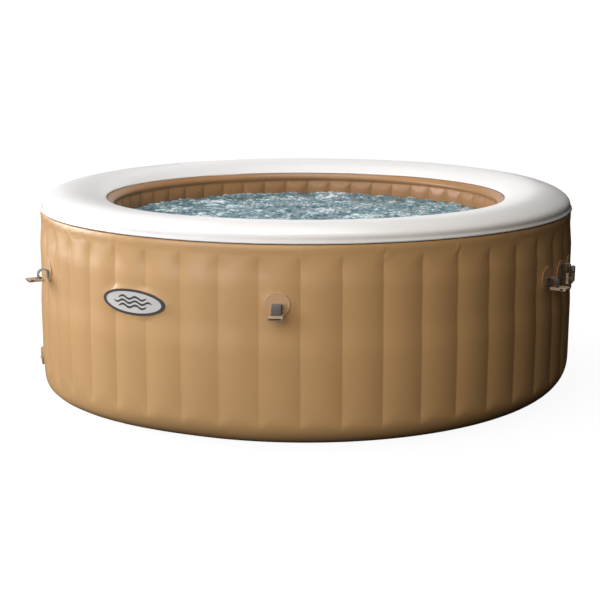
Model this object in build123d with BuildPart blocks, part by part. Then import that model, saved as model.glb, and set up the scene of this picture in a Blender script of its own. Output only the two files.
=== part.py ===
from build123d import *
import os
from math import asin, cos, degrees, radians, sin

# Round inflatable hot tub, in millimetres.
# The origin is the centre of the base where it rests on the ground, +Z is up.
# Azimuth 0 faces -Y (the front) and grows towards +X, so 180 is the back (+Y).

# ---------------------------------------------------------------- main sizes
WALL_R = 978.0  # outside of the inflated wall
SKIN = 1.5  # laminated PVC
BASE_CORNER_R = 89.0  # rounding where the wall turns under
WALL_TOP_Z = 600.0  # above this the wall leans in to the rim seam
RIM_SEAM_R = 968.0
RIM_SEAM_Z = 638.6
RIM_TOP_Z = 711.7
RIM_CREST_R = 868.0  # highest line of the rim
RIM_SIDE_Z = 653.7  # the rim is widest here
INNER_SEAM_R = 718.0
INNER_SEAM_Z = 668.6
INNER_R = 712.0  # water side of the inner wall
BAND_R = 700.0  # the padded band above the channels bulges in to this radius
BAND_MID_Z = 642.0
BAND_FOOT_Z = 618.0
BASE_SHEET_T = 2.0
SEAM_GAP = 0.3  # left between skins that are welded to each other

# The skins are made in panels, one for every three of the 48 channels.
CHANNELS = 48
CHANNEL_ARC = 360 / CHANNELS
PANELS = 16
PANEL_PITCH = 360 / PANELS
PANEL_GAP = 0.02  # degrees left open between panels
PANEL_ARC = PANEL_PITCH - PANEL_GAP
FIRST_PANEL = CHANNEL_ARC / 2
WEB_T = 1.0
WEB_FOOT_Z = 90.0
WEB_HEAD_Z = 598.0

# Bubble channel along the foot of the inner wall
CHANNEL_W = 47.0
CHANNEL_H = 46.0
CHANNEL_ROUND = 20.0
JETS_PER_PANEL = 8
JET_R = 1.5
JET_Z = 24.0

# Oval badge on the wall
BADGE_AZIMUTH = -29.0
BADGE_Z = 431.5
BADGE_HALF_W = 126.5
BADGE_HALF_H = 41.0
BADGE_BORDER_W = 13.0
BADGE_BORDER_H = 7.5
BADGE_RIM_T = 3.0
BADGE_FACE_T = 2.0

# Cover buckles: a round patch, a webbing strap and the socket half of a buckle
PATCH_Z = 458.0
PATCH_R = 40.0
PATCH_T = 2.5
STRAP_W = 30.0
STRAP_T = 1.8
STRAP_FOOT = -28.0  # lowest weld of the webbing, from the patch centre
STRAP_FACE_U = 3.5  # middle of the webbing on the patch, out from the wall
ROOT_BEND_R = 12.0
HINGE_GAP = 0.6
BAR_R = 2.5
BAR_CLEARANCE = 0.08
EYE_R = BAR_R + BAR_CLEARANCE + STRAP_T / 2  # middle of the sewn eye round the bar
BUCKLE_T = 9.5
BUCKLE_LENGTH = 43.0  # bar centre to mouth
BUCKLE_TAIL = 14.0  # bar centre to the other end
TAIL_BAR_W = 4.0
TAIL_BAR_T = 2.0
BUCKLE_HALF_W = 23.0
BUCKLE_TAIL_HALF_W = 21.0
SLOT_HALF_W = 16.0
SLOT_END = 12.0
SOCKET_START = 16.5
SOCKET_HALF_W = 18.0
SOCKET_HALF_T = 3.2
WINDOW_START = 22.0
WINDOW_END = 34.0
MOUTH_BEVEL = 3.5
BUCKLE_ROUND = 1.4

# One entry per buckle: azimuth, hinge (out, up), bar (out, up), bend radius of the
# loose webbing, and the way the buckle points, in degrees above the horizontal.
HINGE_U = 18.0
RESTING_OUT = {"hinge": (HINGE_U, 5.0), "bar": (34.0, -29.0), "bend": 18.0, "tilt": 0.0}
HANGING = {"hinge": (HINGE_U, 32.0), "bar": (30.0, -12.0), "bend": 12.0, "tilt": -90.0}
TURNED_UP = {"hinge": (STRAP_FACE_U, -8.0), "bar": (18.0, -43.0), "bend": 0.0, "tilt": 90.0}
BUCKLE_SETS = [(azimuth, RESTING_OUT) for azimuth in (-60, -0.3, 60, 120, 180, -120)]
BUCKLE_SETS += [(67.5, HANGING), (75.0, TURNED_UP)]

# Water ports at the back, one each side of the middle
PORT_X = 128.0
PORT_Z = 110.0
PORT_PANEL_LOW = 48.0
PORT_PANEL_HIGH = 172.0
PORT_BORE_R = 23.0
DUCT_R = 25.0
FIT_GAP = 0.05
PORT_HOLE_R = 25.3
PORT_FLANGE_R = 42.0
PORT_FLANGE_Y = 988.0
PORT_STUB_R = 29.0
PORT_STUB_L = 32.0
GASKET_T = 2.0
GASKET_R = 38.0
HOUSING_R = 45.0
HOUSING_Y = 684.0
HOUSING_NECK_R = 34.0
HOUSING_NECK_L = 8.0
STRAINER_R = 40.0
STRAINER_T = 3.0
STRAINER_SLOTS = 7
STRAINER_SLOT_W = 3.2

# Air port above them, with its check flap
AIR_Z = 290.0
AIR_PANEL_LOW = 240.0
AIR_PANEL_HIGH = 340.0
AIR_BORE_R = 18.0
AIR_STUB_R = 22.0
AIR_STUB_L = 26.0
AIR_FLANGE_R = 36.0
AIR_FLANGE_Y = 988.0
AIR_CUP_DEPTH = 52.0
FLAP_R = 15.0
FLAP_T = 2.0
FLAP_Y = 972.0
FLAP_HINGE_DZ = 14.0
FLAP_PIN_R = 1.2
SEAT_R = 13.0
FEED_TUBE_R = 14.0
FEED_TUBE_WALL = 2.0
FEED_DROP_Y = 840.0
FEED_Z = 25.0
FEED_BEND_R = 60.0

# Inflation valve
VALVE_AZIMUTH = 172.5
VALVE_Z = 330.0
VALVE_FLANGE_R = 24.0
VALVE_FLANGE_T = 3.0
VALVE_CUP_R = 15.0
VALVE_BORE_R = 12.5
VALVE_DEPTH = 22.0
VALVE_FLOOR_T = 2.0
STEM_R = 3.0
STEM_HEAD_R = 7.0
STEM_TOP = -4.0
VALVE_CAP_R = 19.0
VALVE_CAP_T = 3.0
VALVE_HINGE_UP = 25.0
VALVE_HINGE_OUT = 6.0
VALVE_PIN_R = 1.2

# Drain valve low on the left, on the lower rounding of the wall
DRAIN_AZIMUTH = -77.3
DRAIN_TILT = 4.0
DRAIN_FLANGE_R = 31.0
DRAIN_FLANGE_T = 3.0
DRAIN_NOZZLE_R = 15.0
DRAIN_NOZZLE_L = 11.0
DRAIN_BORE_R = 10.5
DRAIN_DUCT_R = 13.0
DRAIN_SLEEVE_L = 14.0
DRAIN_CAP_R = 33.0
DRAIN_CAP_FACE = 13.0
DRAIN_GRIPS = 12
DRAIN_PLUG_L = 14.0


# ------------------------------------------------------------------- frames
def outward(azimuth, tilt=0.0):
    """Unit vector out of the tub at an azimuth, leaning down by tilt degrees."""
    flat = cos(radians(tilt))
    return Vector(
        sin(radians(azimuth)) * flat, -cos(radians(azimuth)) * flat, -sin(radians(tilt))
    )


def along(azimuth):
    """Unit vector along the wall, towards growing azimuth."""
    return Vector(cos(radians(azimuth)), sin(radians(azimuth)), 0)


def section_plane(azimuth):
    """Upright plane through the tub's axis: local x is the radius, local y is Z."""
    return Plane(origin=(0, 0, 0), x_dir=outward(azimuth), z_dir=-along(azimuth))


def wall_plane(azimuth, radius, z, tilt=0.0):
    """Plane that faces out of the wall: local x runs along it, local y up it."""
    origin = outward(azimuth) * radius + Vector(0, 0, z)
    return Plane(origin=origin, x_dir=along(azimuth), z_dir=outward(azimuth, tilt))


def back_plane(x, y, z):
    """Plane that faces straight back (+Y)."""
    return Plane(origin=(x, y, z), x_dir=(-1, 0, 0), z_dir=(0, 1, 0))


def strap_plane(azimuth):
    """Upright plane through a patch centre: local x is out of the wall, local y is up."""
    origin = outward(azimuth) * WALL_R + Vector(0, 0, PATCH_Z)
    return Plane(origin=origin, x_dir=outward(azimuth), z_dir=-along(azimuth))


def disc(plane, radius, near, far, mode=Mode.ADD):
    """Round bar or hole along a plane's normal, from height near to height far."""
    with BuildSketch(plane.offset(near)) as outline:
        Circle(radius)
    extrude(outline.sketch, amount=far - near, mode=mode)


def keep_outside(radius):
    """Cut away all that lies inside an upright cylinder about the tub's axis."""
    with BuildSketch(Plane.XY) as outline:
        Circle(radius)
    extrude(outline.sketch, amount=RIM_TOP_Z, mode=Mode.SUBTRACT)


def keep_inside(radius):
    """Keep only what lies inside an upright cylinder about the tub's axis."""
    with BuildSketch(Plane.XY) as outline:
        Circle(radius)
    extrude(outline.sketch, amount=RIM_TOP_Z, mode=Mode.INTERSECT)


def plain_spans(extra_cuts, port_spans):
    """Start azimuth and arc of each panel that has no water port, cut further as given."""
    starts = sorted(PANEL_AZIMUTHS + extra_cuts)
    ends = starts[1:] + [starts[0] + 360]
    port_starts = [round(start, 3) for start, arc in port_spans]
    spans = [(start, end - start - PANEL_GAP) for start, end in zip(starts, ends)]
    return [span for span in spans if round(span[0], 3) not in port_starts]


def clear_between(low, high):
    """Cut away a level slab."""
    with Locations((0, 0, (low + high) / 2)):
        Box(3 * WALL_R, 3 * WALL_R, high - low, mode=Mode.SUBTRACT)


def write(builder, name):
    builder.part.label = name
    export_step(builder.part, f"parts/{name}.step")


os.makedirs("parts", exist_ok=True)

PANEL_AZIMUTHS = [FIRST_PANEL + PANEL_PITCH * index for index in range(PANELS)]

# Round the two water ports the skins are cut into narrower panels of their own
OUTER_CUTS = [180 - 1.5 * CHANNEL_ARC, 180 - 0.5 * CHANNEL_ARC, 180 + 1.5 * CHANNEL_ARC]
OUTER_PORT_SPANS = [
    (OUTER_CUTS[0], CHANNEL_ARC - PANEL_GAP),
    (180 + 0.5 * CHANNEL_ARC, CHANNEL_ARC - PANEL_GAP),
]
AIR_SPAN = (OUTER_CUTS[1], CHANNEL_ARC - PANEL_GAP)
INNER_PORT_ANGLE = degrees(asin(PORT_X / INNER_R))
INNER_PORT_ARC = 10.0
INNER_CUTS = [
    180 - INNER_PORT_ANGLE - INNER_PORT_ARC / 2,
    180 - INNER_PORT_ANGLE + INNER_PORT_ARC / 2,
    180 + INNER_PORT_ANGLE - INNER_PORT_ARC / 2,
    180 + INNER_PORT_ANGLE + INNER_PORT_ARC / 2,
]
INNER_PORT_SPANS = [
    (INNER_CUTS[0], INNER_PORT_ARC - PANEL_GAP),
    (INNER_CUTS[2], INNER_PORT_ARC - PANEL_GAP),
]
PORTS = {"inlet": -PORT_X, "outlet": PORT_X}
DRAIN_Z = BASE_CORNER_R * (1 - sin(radians(DRAIN_TILT)))
DRAIN_R = WALL_R - BASE_CORNER_R * (1 - cos(radians(DRAIN_TILT)))
DRAIN_PLANE = wall_plane(DRAIN_AZIMUTH, DRAIN_R, DRAIN_Z, DRAIN_TILT)
DRAIN_REACH = (DRAIN_R - INNER_R) / cos(radians(DRAIN_TILT))  # wall to wall on the slant
VALVE_PLANE = wall_plane(VALVE_AZIMUTH, WALL_R, VALVE_Z)

# ------------------------------------------------------------ the air chamber
half = SKIN / 2


def outer_panel(azimuth, arc):
    """One panel of the outer skin, from under the wall's foot up to the rim seam."""
    with BuildSketch(section_plane(azimuth)) as section:
        with BuildLine():
            corner_x = WALL_R - BASE_CORNER_R
            Line((corner_x - 4, half), (corner_x, half))
            CenterArc((corner_x, BASE_CORNER_R), BASE_CORNER_R - half, -90, 90)
            upright = Line((WALL_R - half, BASE_CORNER_R), (WALL_R - half, WALL_TOP_Z))
            TangentArc(upright @ 1, (RIM_SEAM_R - half, RIM_SEAM_Z), tangent=upright % 1)
        trace(line_width=SKIN)
    revolve(section.sketch, axis=Axis.Z, revolution_arc=arc)


def split_panels(panel, spans, low, high):
    """Panels cut level at two heights: what is left of them, and the pieces in between."""
    with BuildPart() as rest:
        for azimuth, arc in spans:
            panel(azimuth, arc)
        clear_between(low - SEAM_GAP / 2, high + SEAM_GAP / 2)
    with BuildPart() as middle:
        for azimuth, arc in spans:
            panel(azimuth, arc)
        clear_between(-SKIN, low + SEAM_GAP / 2)
        clear_between(high - SEAM_GAP / 2, RIM_TOP_Z)
    return rest.part, middle.part


port_rest, port_middle = split_panels(
    outer_panel, OUTER_PORT_SPANS, PORT_PANEL_LOW, PORT_PANEL_HIGH
)
air_rest, air_middle = split_panels(outer_panel, [AIR_SPAN], AIR_PANEL_LOW, AIR_PANEL_HIGH)

with BuildPart() as outer_wall:
    for azimuth, arc in plain_spans(OUTER_CUTS, OUTER_PORT_SPANS + [AIR_SPAN]):
        outer_panel(azimuth, arc)
    add(port_rest)
    add(air_rest)
    disc(VALVE_PLANE, VALVE_CUP_R + SEAM_GAP, -VALVE_DEPTH, VALVE_DEPTH, Mode.SUBTRACT)
    disc(DRAIN_PLANE, DRAIN_NOZZLE_R + SEAM_GAP, -DRAIN_SLEEVE_L, DRAIN_SLEEVE_L, Mode.SUBTRACT)
write(outer_wall, "outer_wall")

with BuildPart() as outer_port_panels:
    add(port_middle)
    add(air_middle)
    disc(back_plane(0, 0, AIR_Z), AIR_STUB_R + SEAM_GAP, INNER_R, AIR_FLANGE_Y, Mode.SUBTRACT)
    for x in PORTS.values():
        disc(back_plane(x, 0, PORT_Z), PORT_HOLE_R, INNER_R, PORT_FLANGE_Y, Mode.SUBTRACT)
write(outer_port_panels, "outer_port_panels")

with BuildPart() as top_ring:
    for azimuth in PANEL_AZIMUTHS:
        with BuildSketch(section_plane(azimuth)):
            with BuildLine():
                rise = RIM_TOP_Z - RIM_SIDE_Z - half
                reach = WALL_R - RIM_CREST_R - half
                side = EllipticalCenterArc((RIM_CREST_R, RIM_SIDE_Z), reach, rise, -12, arc_size=102)
                Line((RIM_SEAM_R - half, RIM_SEAM_Z + SKIN + SEAM_GAP), side @ 0)
                TangentArc(side @ 1, (INNER_SEAM_R, INNER_SEAM_Z + SKIN), tangent=(-1, 0))
            trace(line_width=SKIN)
        revolve(axis=Axis.Z, revolution_arc=PANEL_ARC)
write(top_ring, "top_ring")


def inner_panel(azimuth, arc):
    """One panel of the inner skin, with its padded band at the top."""
    with BuildSketch(section_plane(azimuth)) as section:
        with BuildLine():
            band_top = (INNER_SEAM_R, INNER_SEAM_Z)
            band_foot = (INNER_R + half, BAND_FOOT_Z)
            ThreePointArc(band_top, (BAND_R + half, BAND_MID_Z), band_foot)
            Line(band_foot, (INNER_R + half, BASE_SHEET_T))
        trace(line_width=SKIN)
    revolve(section.sketch, axis=Axis.Z, revolution_arc=arc)


inner_rest, inner_middle = split_panels(
    inner_panel, INNER_PORT_SPANS, PORT_PANEL_LOW, PORT_PANEL_HIGH
)

with BuildPart() as inner_wall:
    for azimuth, arc in plain_spans(INNER_CUTS, INNER_PORT_SPANS):
        inner_panel(azimuth, arc)
    add(inner_rest)
    disc(back_plane(0, 0, FEED_Z), FEED_TUBE_R + SEAM_GAP, HOUSING_Y, WALL_R, Mode.SUBTRACT)
    drain_in = -DRAIN_REACH
    disc(DRAIN_PLANE, DRAIN_DUCT_R + SEAM_GAP, drain_in - 20, drain_in + 20, Mode.SUBTRACT)
write(inner_wall, "inner_wall")

with BuildPart() as inner_port_panels:
    add(inner_middle)
    for x in PORTS.values():
        disc(back_plane(x, 0, PORT_Z), PORT_HOLE_R, HOUSING_Y, WALL_R, Mode.SUBTRACT)
write(inner_port_panels, "inner_port_panels")

with BuildPart() as base_sheet:
    with BuildSketch(Plane.XY):
        Circle(WALL_R - BASE_CORNER_R - 4 - SEAM_GAP)
    extrude(amount=BASE_SHEET_T)
write(base_sheet, "base_sheet")

# Upright webs that hold the two walls together and draw them into channels
with BuildPart() as tension_webs:
    for index in range(CHANNELS):
        with BuildSketch(section_plane(CHANNEL_ARC * (index + 0.5))):
            web_start = INNER_R + SKIN + SEAM_GAP
            web_end = WALL_R - SKIN - SEAM_GAP
            with Locations(((web_start + web_end) / 2, (WEB_FOOT_Z + WEB_HEAD_Z) / 2)):
                Rectangle(web_end - web_start, WEB_HEAD_Z - WEB_FOOT_Z)
        extrude(amount=WEB_T / 2, both=True)
    for x in PORTS.values():
        disc(back_plane(x, 0, PORT_Z), DUCT_R + 5, INNER_R - 30, WALL_R, Mode.SUBTRACT)
write(tension_webs, "tension_webs")

with BuildPart() as bubble_channel:
    for azimuth in PANEL_AZIMUTHS:
        with BuildSketch(section_plane(azimuth)):
            outer_x = INNER_R - SEAM_GAP
            top_z = BASE_SHEET_T + CHANNEL_H
            with BuildLine():
                FilletPolyline(
                    (outer_x, top_z - half),
                    (outer_x - CHANNEL_W, top_z - half),
                    (outer_x - CHANNEL_W, BASE_SHEET_T),
                    radius=CHANNEL_ROUND,
                )
            trace(line_width=SKIN)
        revolve(axis=Axis.Z, revolution_arc=PANEL_ARC)
    jets = JETS_PER_PANEL * PANELS
    for index in range(jets):
        jet_plane = wall_plane(360 / jets * (index + 0.5) + FIRST_PANEL, 0, JET_Z)
        disc(jet_plane, JET_R, outer_x - CHANNEL_W - 5, outer_x - CHANNEL_W + 5, Mode.SUBTRACT)
write(bubble_channel, "bubble_channel")

# --------------------------------------------------------------------- badge
badge_plane = wall_plane(BADGE_AZIMUTH, WALL_R, BADGE_Z)
face_half_w = BADGE_HALF_W - BADGE_BORDER_W
face_half_h = BADGE_HALF_H - BADGE_BORDER_H

with BuildPart() as badge_rim:
    with BuildSketch(badge_plane.offset(-20)):
        Ellipse(BADGE_HALF_W, BADGE_HALF_H)
        Ellipse(face_half_w, face_half_h, mode=Mode.SUBTRACT)
    extrude(amount=40)
    keep_outside(WALL_R)
    keep_inside(WALL_R + BADGE_RIM_T)
write(badge_rim, "badge_rim")

with BuildPart() as badge_face:
    with BuildSketch(badge_plane.offset(-20)):
        Ellipse(face_half_w - FIT_GAP, face_half_h - FIT_GAP)
    extrude(amount=40)
    keep_outside(WALL_R)
    keep_inside(WALL_R + BADGE_FACE_T)
write(badge_face, "badge_face")

# ------------------------------------------------------------- cover buckles
with BuildPart() as buckle_patches:
    for azimuth, pose in BUCKLE_SETS:
        disc(wall_plane(azimuth, WALL_R, PATCH_Z), PATCH_R, -6, 6)
    keep_outside(WALL_R)
    keep_inside(WALL_R + PATCH_T)
write(buckle_patches, "buckle_patches")


def webbing_root(azimuth, pose):
    """The welded end of a strap, up to the line where the loose webbing starts to swing."""
    hinge_u, hinge_v = pose["hinge"]
    with BuildSketch(strap_plane(azimuth)) as outline:
        with BuildLine():
            if pose["bend"]:
                bend_start = hinge_v - ROOT_BEND_R
                bend_end = STRAP_FACE_U + ROOT_BEND_R
                Line((STRAP_FACE_U, STRAP_FOOT), (STRAP_FACE_U, bend_start))
                CenterArc((bend_end, bend_start), ROOT_BEND_R, 180, -90)
                Line((bend_end, hinge_v), (hinge_u - HINGE_GAP, hinge_v))
            else:
                Line((STRAP_FACE_U, -STRAP_FOOT), (STRAP_FACE_U, hinge_v + HINGE_GAP))
        trace(line_width=STRAP_T)
    extrude(outline.sketch, amount=STRAP_W / 2, both=True)


with BuildPart() as strap_roots:
    for azimuth, pose in BUCKLE_SETS:
        webbing_root(azimuth, pose)
write(strap_roots, "strap_roots")


def loose_webbing(azimuth, pose):
    """The swinging part of a strap, sewn into an eye round the buckle's bar."""
    hinge_u, hinge_v = pose["hinge"]
    bar_u, bar_v = pose["bar"]
    bend = pose["bend"]
    with BuildPart() as strap:
        with BuildSketch(strap_plane(azimuth)):
            with BuildLine():
                if bend:
                    leg_u = bar_u + EYE_R
                    Line((hinge_u + HINGE_GAP, hinge_v), (leg_u - bend, hinge_v))
                    CenterArc((leg_u - bend, hinge_v - bend), bend, 90, -90)
                    Line((leg_u, hinge_v - bend), (leg_u, bar_v))
                else:
                    Line((hinge_u, hinge_v - HINGE_GAP), (bar_u - EYE_R, bar_v))
            trace(line_width=STRAP_T)
            with Locations((bar_u, bar_v)):
                Circle(EYE_R + STRAP_T / 2)
                Circle(EYE_R - STRAP_T / 2, mode=Mode.SUBTRACT)
        extrude(amount=STRAP_W / 2, both=True)
    return strap


def buckle_socket(azimuth, pose):
    """Socket half of a side-release buckle, hung on its bar."""
    side = strap_plane(azimuth)
    bar_u, bar_v = pose["bar"]
    tilt = radians(pose["tilt"])
    pointing = side.x_dir * cos(tilt) + side.y_dir * sin(tilt)
    thick = side.y_dir * cos(tilt) - side.x_dir * sin(tilt)
    bar = side.from_local_coords(Vector(bar_u, bar_v, 0))
    top_view = Plane(origin=bar, x_dir=pointing, z_dir=thick)
    side_view = Plane(origin=bar, x_dir=pointing, z_dir=-along(azimuth))
    with BuildPart() as buckle:
        with BuildSketch(top_view):
            with BuildLine():
                Polyline(
                    (-BUCKLE_TAIL, 0),
                    (-BUCKLE_TAIL, BUCKLE_TAIL_HALF_W),
                    (SLOT_END, BUCKLE_TAIL_HALF_W),
                    (SOCKET_START + 4, BUCKLE_HALF_W),
                    (BUCKLE_LENGTH, BUCKLE_HALF_W),
                    (BUCKLE_LENGTH, 0),
                )
                mirror(about=Plane.XZ)
            make_face()
        extrude(amount=BUCKLE_T / 2, both=True)
        broad_faces = buckle.faces().filter_by(Axis(bar, thick))
        fillet(broad_faces.edges(), BUCKLE_ROUND)
        with BuildSketch(top_view):
            with Locations(((SLOT_END - 2 * BUCKLE_TAIL) / 2, 0)):
                Rectangle(SLOT_END + 2 * BUCKLE_TAIL, 2 * SLOT_HALF_W)
        extrude(amount=BUCKLE_T, both=True, mode=Mode.SUBTRACT)
        with BuildSketch(top_view):
            with Locations(((TAIL_BAR_W / 2) - BUCKLE_TAIL, 0)):
                Rectangle(TAIL_BAR_W, 2 * SLOT_HALF_W + 2)
        extrude(amount=TAIL_BAR_T / 2, both=True)
        with BuildSketch(side_view):
            Circle(BAR_R)
        extrude(amount=BUCKLE_TAIL_HALF_W - 2, both=True)
        with BuildSketch(top_view):
            with Locations(((SOCKET_START + BUCKLE_LENGTH + 2) / 2, 0)):
                Rectangle(BUCKLE_LENGTH + 2 - SOCKET_START, 2 * SOCKET_HALF_W)
            with Locations(((WINDOW_START + WINDOW_END) / 2, 0)):
                Rectangle(WINDOW_END - WINDOW_START, 3 * BUCKLE_HALF_W)
        extrude(amount=SOCKET_HALF_T, both=True, mode=Mode.SUBTRACT)
        with BuildSketch(side_view):
            with BuildLine():
                Polyline(
                    (BUCKLE_LENGTH - MOUTH_BEVEL, -BUCKLE_T),
                    (BUCKLE_LENGTH - MOUTH_BEVEL, -BUCKLE_T / 2),
                    (BUCKLE_LENGTH, BUCKLE_T / 2),
                    (BUCKLE_LENGTH + 1, BUCKLE_T / 2),
                    (BUCKLE_LENGTH + 1, -BUCKLE_T),
                    close=True,
                )
            make_face()
        extrude(amount=BUCKLE_HALF_W + 1, both=True, mode=Mode.SUBTRACT)
    return buckle


for number, (azimuth, pose) in enumerate(BUCKLE_SETS, start=1):
    write(loose_webbing(azimuth, pose), f"strap_{number}")
    write(buckle_socket(azimuth, pose), f"buckle_{number}")

# --------------------------------------------------------------- water ports
for port, x in PORTS.items():
    axis = back_plane(x, 0, PORT_Z)

    with BuildPart() as port_stub:
        disc(axis, PORT_FLANGE_R, WALL_R - 60, PORT_FLANGE_Y)
        keep_outside(WALL_R + GASKET_T)
        disc(axis, PORT_STUB_R, PORT_FLANGE_Y, PORT_FLANGE_Y + PORT_STUB_L)
        disc(axis, DUCT_R + FIT_GAP, WALL_R - 60, PORT_FLANGE_Y, Mode.SUBTRACT)
        disc(axis, PORT_BORE_R, PORT_FLANGE_Y, PORT_FLANGE_Y + PORT_STUB_L, Mode.SUBTRACT)
    write(port_stub, f"{port}_stub")

    with BuildPart() as port_gasket:
        disc(axis, GASKET_R, WALL_R - 60, PORT_FLANGE_Y)
        keep_outside(WALL_R)
        keep_inside(WALL_R + GASKET_T)
        disc(axis, PORT_HOLE_R, WALL_R - 60, PORT_FLANGE_Y, Mode.SUBTRACT)
    write(port_gasket, f"{port}_gasket")

    with BuildPart() as port_duct:
        disc(axis, DUCT_R, HOUSING_Y + 2, PORT_FLANGE_Y)
        disc(axis, PORT_BORE_R, HOUSING_Y, PORT_FLANGE_Y, Mode.SUBTRACT)
    write(port_duct, f"{port}_duct")

    with BuildPart() as port_housing:
        disc(axis, HOUSING_R, HOUSING_Y, WALL_R)
        keep_inside(INNER_R)
        disc(axis, HOUSING_NECK_R, HOUSING_Y - HOUSING_NECK_L, HOUSING_Y)
        disc(axis, DUCT_R + FIT_GAP, HOUSING_Y + 2, WALL_R, Mode.SUBTRACT)
        neck_end = HOUSING_Y - HOUSING_NECK_L
        disc(axis, PORT_BORE_R, neck_end, HOUSING_Y + 2, Mode.SUBTRACT)
    write(port_housing, f"{port}_housing")

    # The strainer turns on the neck of the housing
    with BuildPart() as port_strainer:
        rim_end = HOUSING_Y - SEAM_GAP
        face_start = neck_end - SEAM_GAP - STRAINER_T
        disc(axis, STRAINER_R, face_start, rim_end)
        disc(axis, HOUSING_NECK_R + FIT_GAP, neck_end - SEAM_GAP, rim_end, Mode.SUBTRACT)
        with BuildSketch(axis.offset(face_start)):
            with GridLocations(2 * STRAINER_SLOT_W, 0, STRAINER_SLOTS, 1):
                Rectangle(STRAINER_SLOT_W, 1.2 * HOUSING_NECK_R)
        extrude(amount=STRAINER_T + SEAM_GAP, mode=Mode.SUBTRACT)
    write(port_strainer, f"{port}_strainer")

# ------------------------------------------------------------------ air port
air_axis = back_plane(0, 0, AIR_Z)
cup_end = AIR_FLANGE_Y - AIR_CUP_DEPTH
flap_back = FLAP_Y - FLAP_T - 2 * SEAM_GAP
hinge_line = Plane(
    origin=(0, flap_back + FLAP_T / 2, AIR_Z + FLAP_HINGE_DZ), x_dir=(0, 1, 0), z_dir=(1, 0, 0)
)

with BuildPart() as air_port:
    disc(air_axis, AIR_FLANGE_R, WALL_R - 30, AIR_FLANGE_Y)
    keep_outside(WALL_R)
    disc(air_axis, AIR_STUB_R, cup_end, AIR_FLANGE_Y + AIR_STUB_L)
    disc(air_axis, AIR_BORE_R, cup_end + 8, FLAP_Y + FLAP_T, Mode.SUBTRACT)
    disc(air_axis, SEAT_R, FLAP_Y + FLAP_T, FLAP_Y + 2 * FLAP_T, Mode.SUBTRACT)
    stub_end = AIR_FLANGE_Y + AIR_STUB_L
    disc(air_axis, AIR_BORE_R, FLAP_Y + 2 * FLAP_T, stub_end, Mode.SUBTRACT)
    disc(air_axis, FEED_TUBE_R + FIT_GAP, cup_end, cup_end + 8, Mode.SUBTRACT)
    with BuildSketch(hinge_line):
        Circle(FLAP_PIN_R)
    extrude(amount=AIR_BORE_R - 3, both=True)
write(air_port, "air_port")

with BuildPart() as air_flap:
    disc(air_axis, FLAP_R, flap_back, flap_back + FLAP_T)
    with BuildSketch(hinge_line):
        Circle(FLAP_PIN_R + 1.6)
    extrude(amount=4, both=True)
    with BuildSketch(hinge_line):
        Circle(FLAP_PIN_R + FIT_GAP)
    extrude(amount=FLAP_R, both=True, mode=Mode.SUBTRACT)
    with BuildSketch(air_axis.offset(FLAP_Y - 6)):
        for side_x in (-1, 1):
            with Locations((side_x * (4 + FLAP_R / 2), FLAP_HINGE_DZ)):
                Rectangle(FLAP_R, 10)
    extrude(amount=12, mode=Mode.SUBTRACT)
write(air_flap, "air_flap")

with BuildPart() as air_feed_tube:
    with BuildLine(Plane.YZ) as feed_line:
        FilletPolyline(
            (cup_end + 8, AIR_Z),
            (FEED_DROP_Y, AIR_Z),
            (FEED_DROP_Y, FEED_Z),
            (INNER_R, FEED_Z),
            radius=FEED_BEND_R,
        )
    with BuildSketch(back_plane(0, cup_end + 8, AIR_Z)):
        Circle(FEED_TUBE_R)
        Circle(FEED_TUBE_R - FEED_TUBE_WALL, mode=Mode.SUBTRACT)
    sweep(path=feed_line.wires()[0])
write(air_feed_tube, "air_feed_tube")

# ----------------------------------------------------------- inflation valve
cup_floor = -VALVE_DEPTH
cap_under = VALVE_FLANGE_T + SEAM_GAP
cap_hinge = Plane(
    origin=VALVE_PLANE.from_local_coords(Vector(0, VALVE_HINGE_UP, VALVE_HINGE_OUT)),
    x_dir=VALVE_PLANE.z_dir,
    z_dir=VALVE_PLANE.x_dir,
)

with BuildPart() as inflation_valve:
    disc(VALVE_PLANE, VALVE_FLANGE_R, -4, VALVE_FLANGE_T)
    with BuildSketch(VALVE_PLANE.offset(-4)):
        with Locations((0, VALVE_HINGE_UP)):
            Rectangle(12, 8)
    extrude(amount=4 + VALVE_HINGE_OUT + 2.6)
    keep_outside(WALL_R)
    disc(VALVE_PLANE, VALVE_CUP_R, cup_floor, VALVE_FLANGE_T)
    disc(VALVE_PLANE, VALVE_BORE_R, cup_floor + VALVE_FLOOR_T, VALVE_FLANGE_T, Mode.SUBTRACT)
    disc(VALVE_PLANE, STEM_R + FIT_GAP, cup_floor, 0, Mode.SUBTRACT)
    with BuildSketch(VALVE_PLANE.offset(cup_floor)):
        with PolarLocations((STEM_R + VALVE_BORE_R) / 2, 4):
            Circle(2.6)
    extrude(amount=VALVE_FLOOR_T, mode=Mode.SUBTRACT)
    with BuildSketch(VALVE_PLANE.offset(VALVE_FLANGE_T)):
        with Locations((0, VALVE_HINGE_UP)):
            Rectangle(6, 10)
    extrude(amount=10, mode=Mode.SUBTRACT)
    with BuildSketch(cap_hinge):
        Circle(VALVE_PIN_R)
    extrude(amount=5, both=True)
write(inflation_valve, "inflation_valve")

with BuildPart() as inflation_stem:
    disc(VALVE_PLANE, STEM_R, cup_floor - 4, STEM_TOP)
    disc(VALVE_PLANE, STEM_HEAD_R, STEM_TOP - 2, STEM_TOP)
    disc(VALVE_PLANE, VALVE_BORE_R, cup_floor - 5, cup_floor - 2.4)
write(inflation_stem, "inflation_stem")

with BuildPart() as inflation_seal:
    disc(VALVE_PLANE, VALVE_BORE_R, cup_floor - 2.4, cup_floor - 0.4)
    disc(VALVE_PLANE, STEM_R + FIT_GAP, cup_floor - 3, cup_floor, Mode.SUBTRACT)
write(inflation_seal, "inflation_seal")

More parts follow.
